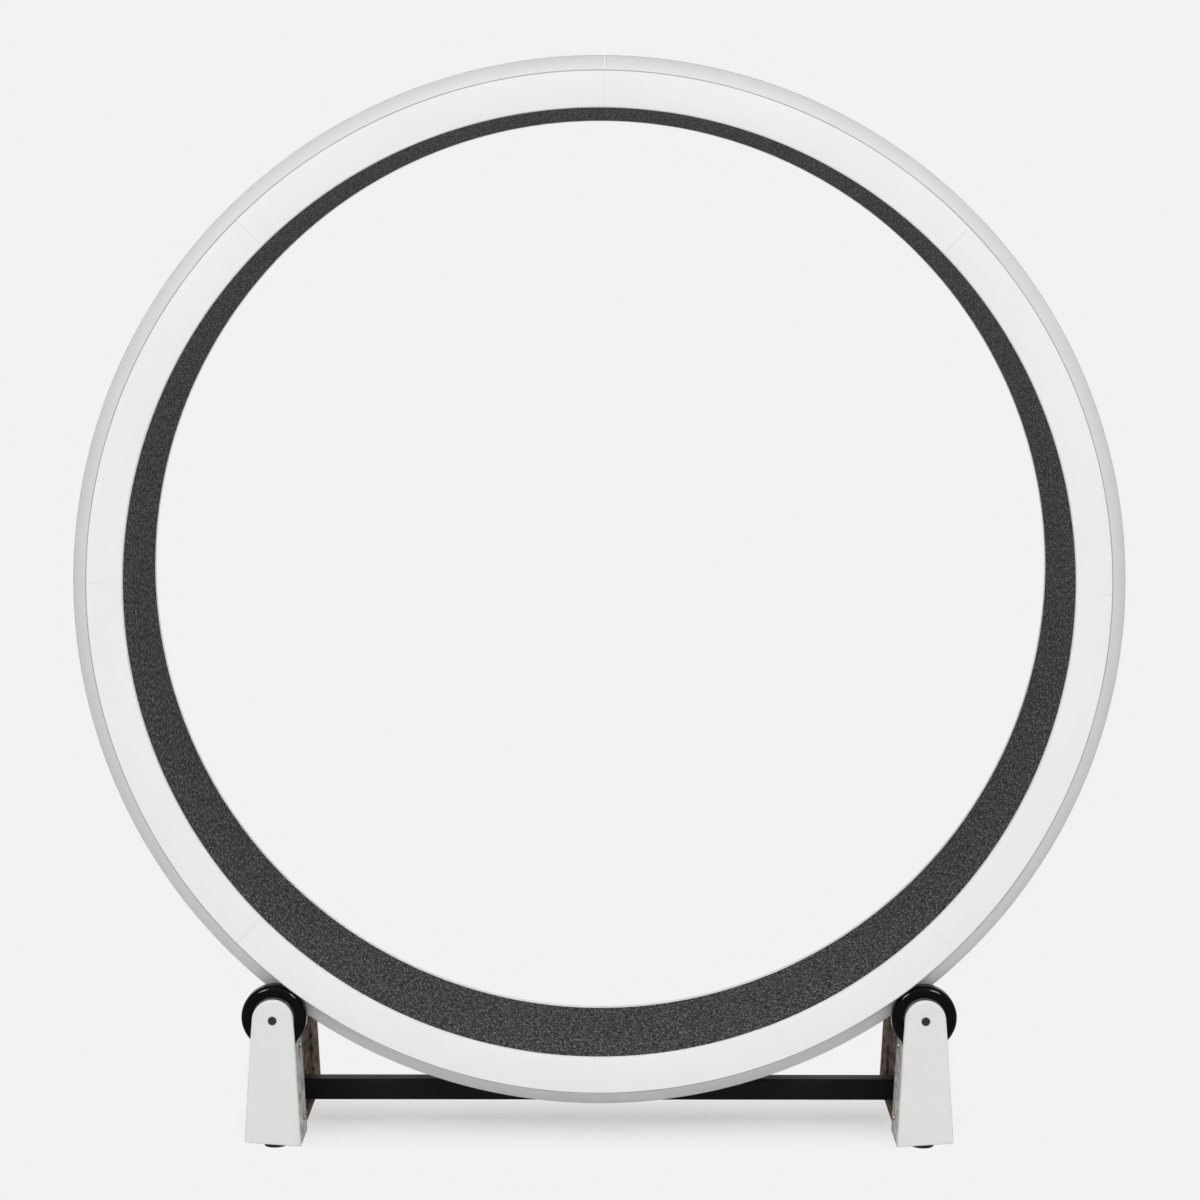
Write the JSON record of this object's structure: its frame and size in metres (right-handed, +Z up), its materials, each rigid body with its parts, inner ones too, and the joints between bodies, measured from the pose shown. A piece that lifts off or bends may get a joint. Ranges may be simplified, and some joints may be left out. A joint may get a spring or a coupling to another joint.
{
  "type": "cat exercise wheel",
  "caption": "Large white cat exercise wheel with a charcoal felt running mat, carried on rollers in two white legs that a black crossbar joins.",
  "frame": {"origin": "on the floor, under the middle of the wheel and halfway between its two faces", "axes": "+Z up, +X to the right and +Y away from a viewer in front of the wheel; the wheel's axis lies along Y"},
  "size_m": [1.2, 0.298, 1.246],
  "materials": {
    "rim": "white moulding with a soft sheen",
    "hoop": "pale grey rolled strip with a soft sheen",
    "deck": "plain moulded panel, covered by the mat",
    "mat": "charcoal heathered felt on foam",
    "fastener": "zinc plated",
    "axle": "blackened steel",
    "tyre": "black polyurethane with a soft gloss",
    "hub": "black nylon",
    "bearing": "ground steel races with a shield",
    "leg": "white moulding with a soft sheen",
    "cover": "streaked grey-brown moulding, semi-matt",
    "crossbar": "black powder coat",
    "plug": "black nylon",
    "foot": "black rubber"
  },
  "bodies": {
    "stand": {"left_leg_shell": "leg", "right_leg_shell": "leg", "left_leg_cover": "cover", "right_leg_cover": "cover", "cover_screws": "fastener", "crossbar": "crossbar", "crossbar_plugs": "plug", "crossbar_washers": "fastener", "crossbar_bolts": "axle", "axle_bolts": "axle", "axle_nuts": "fastener", "axle_spacers": "fastener", "rubber_feet": "foot", "foot_screws": "fastener"},
    "wheel": {"rim_segment_1": "rim", "rim_segment_2": "rim", "rim_segment_3": "rim", "rim_segment_4": "rim", "rim_segment_5": "rim", "rim_segment_6": "rim", "rim_segment_7": "rim", "rim_segment_8": "rim", "deck_panel_1": "deck", "deck_panel_2": "deck", "deck_panel_3": "deck", "deck_panel_4": "deck", "deck_panel_5": "deck", "deck_panel_6": "deck", "deck_panel_7": "deck", "deck_panel_8": "deck", "guide_hoop_front": "hoop", "guide_hoop_rear": "hoop", "deck_screws": "fastener", "joint_bolts": "fastener", "joint_nuts": "fastener", "running_mat": "mat"},
    "front_left_roller": {"roller_tyre_front_left": "tyre", "roller_hub_front_left": "hub", "roller_bearings_front_left": "bearing"},
    "rear_left_roller": {"roller_tyre_rear_left": "tyre", "roller_hub_rear_left": "hub", "roller_bearings_rear_left": "bearing"},
    "front_right_roller": {"roller_tyre_front_right": "tyre", "roller_hub_front_right": "hub", "roller_bearings_front_right": "bearing"},
    "rear_right_roller": {"roller_tyre_rear_right": "tyre", "roller_hub_rear_right": "hub", "roller_bearings_rear_right": "bearing"}
  },
  "joints": [
    {"name": "wheel_spin", "type": "hinge", "parent": "stand", "child": "wheel", "pos_m": [0, 0, 0.646], "axis": [0, 1, 0], "continuous": true},
    {"name": "front_left_roller_spin", "type": "hinge", "parent": "stand", "child": "front_left_roller", "pos_m": [-0.3735, -0.12375, 0.15138], "axis": [0, 1, 0], "continuous": true},
    {"name": "rear_left_roller_spin", "type": "hinge", "parent": "stand", "child": "rear_left_roller", "pos_m": [-0.3735, 0.12375, 0.15138], "axis": [0, 1, 0], "continuous": true},
    {"name": "front_right_roller_spin", "type": "hinge", "parent": "stand", "child": "front_right_roller", "pos_m": [0.3735, -0.12375, 0.15138], "axis": [0, 1, 0], "continuous": true},
    {"name": "rear_right_roller_spin", "type": "hinge", "parent": "stand", "child": "rear_right_roller", "pos_m": [0.3735, 0.12375, 0.15138], "axis": [0, 1, 0], "continuous": true}
  ],
  "couplings": [
    {"joint": "front_left_roller_spin", "follows": "wheel_spin", "ratio": -15.52},
    {"joint": "rear_left_roller_spin", "follows": "wheel_spin", "ratio": -15.52},
    {"joint": "front_right_roller_spin", "follows": "wheel_spin", "ratio": -15.52},
    {"joint": "rear_right_roller_spin", "follows": "wheel_spin", "ratio": -15.52}
  ]
}
